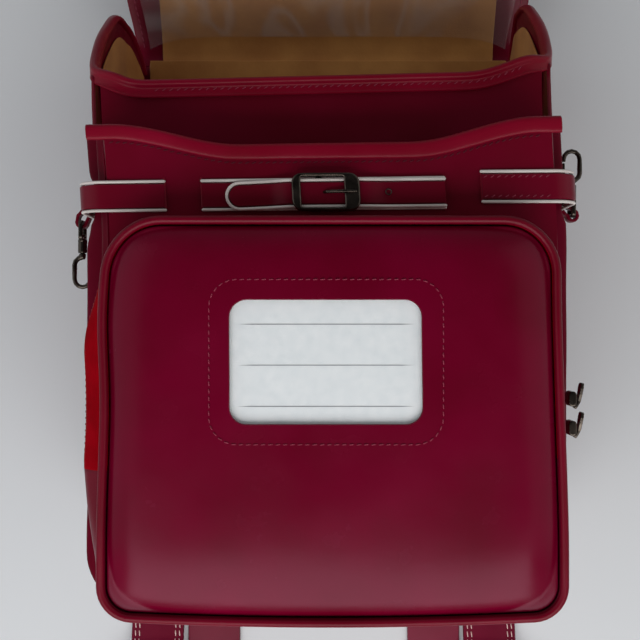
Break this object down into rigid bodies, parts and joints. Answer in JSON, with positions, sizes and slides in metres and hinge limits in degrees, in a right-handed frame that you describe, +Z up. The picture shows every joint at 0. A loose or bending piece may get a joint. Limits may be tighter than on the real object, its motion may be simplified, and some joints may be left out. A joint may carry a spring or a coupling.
{
  "type": "school ransel",
  "caption": "Box-shaped leather school bag lying on its back: flap laid open, pleated second compartment with a buckled belt, zipped front pocket with a card window, side hooks.",
  "frame": {"origin": "bottom centre of the bounding box, on the surface that the bag lies on", "axes": "+Z up, away from the bag's back; +Y from the bag's bottom to its opened flap; +X to the bag's right as it is looked at"},
  "size_m": [0.2806, 0.9272, 0.1974],
  "materials": {
    "leather": "crimson leather, semi-gloss, pressed grain",
    "leather_inside": "crimson padding leather, duller",
    "lining_tan": "tan lining",
    "zip_red": "bright red woven tape",
    "edge_white": "off-white piping",
    "gunmetal": "dark plated, polished",
    "card_white": "plain card with ruled lines",
    "clear_film": "clear soft film"
  },
  "bodies": {
    "bag": {"back_pad": "leather_inside", "back_panel": "leather", "belt_center": "leather", "belt_center_edge_bottom": "edge_white", "belt_center_edge_top": "edge_white", "belt_left": "leather", "belt_left_edge_bottom": "edge_white", "belt_left_edge_top": "edge_white", "belt_right": "leather", "belt_right_edge_bottom": "edge_white", "belt_right_edge_top": "edge_white", "belt_tongue": "leather", "belt_tongue_edge": "edge_white", "buckle_frame": "gunmetal", "buckle_prong": "gunmetal", "clear_pocket": "clear_film", "flap": "leather", "flap_lining": "lining_tan", "hook_left_eye": "gunmetal", "hook_left_tab": "leather", "hook_right_eye": "gunmetal", "hook_right_tab": "leather", "lining_back": "lining_tan", "lining_sides": "lining_tan", "lock_body": "gunmetal", "lock_plate": "gunmetal", "main_front_wall": "leather", "main_gusset": "leather", "main_rim": "leather", "name_card": "card_white", "pocket_front": "leather", "pocket_gusset": "leather", "pocket_piping": "leather", "second_gusset": "leather", "second_rim": "leather", "second_wall": "leather", "strap_anchor_left": "leather", "strap_anchor_right": "leather", "strap_bracket": "gunmetal", "strap_left": "leather", "strap_right": "leather", "window_film": "clear_film", "zip_slider_lower": "gunmetal", "zip_slider_upper": "gunmetal", "zip_tape": "zip_red", "zip_teeth": "gunmetal"},
    "hook_left_body": {"hook_left": "gunmetal"},
    "hook_left_gate_body": {"hook_left_gate": "gunmetal"},
    "hook_right_body": {"hook_right": "gunmetal"},
    "hook_right_gate_body": {"hook_right_gate": "gunmetal"},
    "zip_pull_upper_body": {"zip_pull_upper": "gunmetal"},
    "zip_pull_lower_body": {"zip_pull_lower": "gunmetal"}
  },
  "joints": [
    {"name": "hook_left_swivel", "type": "hinge", "parent": "bag", "child": "hook_left_body", "pos_m": [-0.13462, -0.16234, 0.115], "axis": [0, 1, 0], "continuous": true},
    {"name": "hook_left_gate_hinge", "type": "hinge", "parent": "hook_left_body", "child": "hook_left_gate_body", "pos_m": [-0.13145, -0.16679, 0.115], "axis": [0, 0, -1], "range_deg": [0, 30], "stiffness_Nm_per_rad": 0.002, "springref_deg": -20.05},
    {"name": "hook_right_swivel", "type": "hinge", "parent": "bag", "child": "hook_right_body", "pos_m": [0.13462, -0.1241, 0.115], "axis": [0, 1, 0], "continuous": true},
    {"name": "hook_right_gate_hinge", "type": "hinge", "parent": "hook_right_body", "child": "hook_right_gate_body", "pos_m": [0.13145, -0.11964, 0.115], "axis": [0, 0, -1], "range_deg": [0, 30], "stiffness_Nm_per_rad": 0.002, "springref_deg": -20.05},
    {"name": "zip_pull_upper_hinge", "type": "hinge", "parent": "bag", "child": "zip_pull_upper_body", "pos_m": [0.12144, -0.24222, 0.17805], "axis": [0, 0, -1], "range_deg": [0, 50]},
    {"name": "zip_pull_lower_hinge", "type": "hinge", "parent": "bag", "child": "zip_pull_lower_body", "pos_m": [0.12144, -0.25662, 0.17805], "axis": [0, 0, -1], "range_deg": [0, 150]}
  ]
}
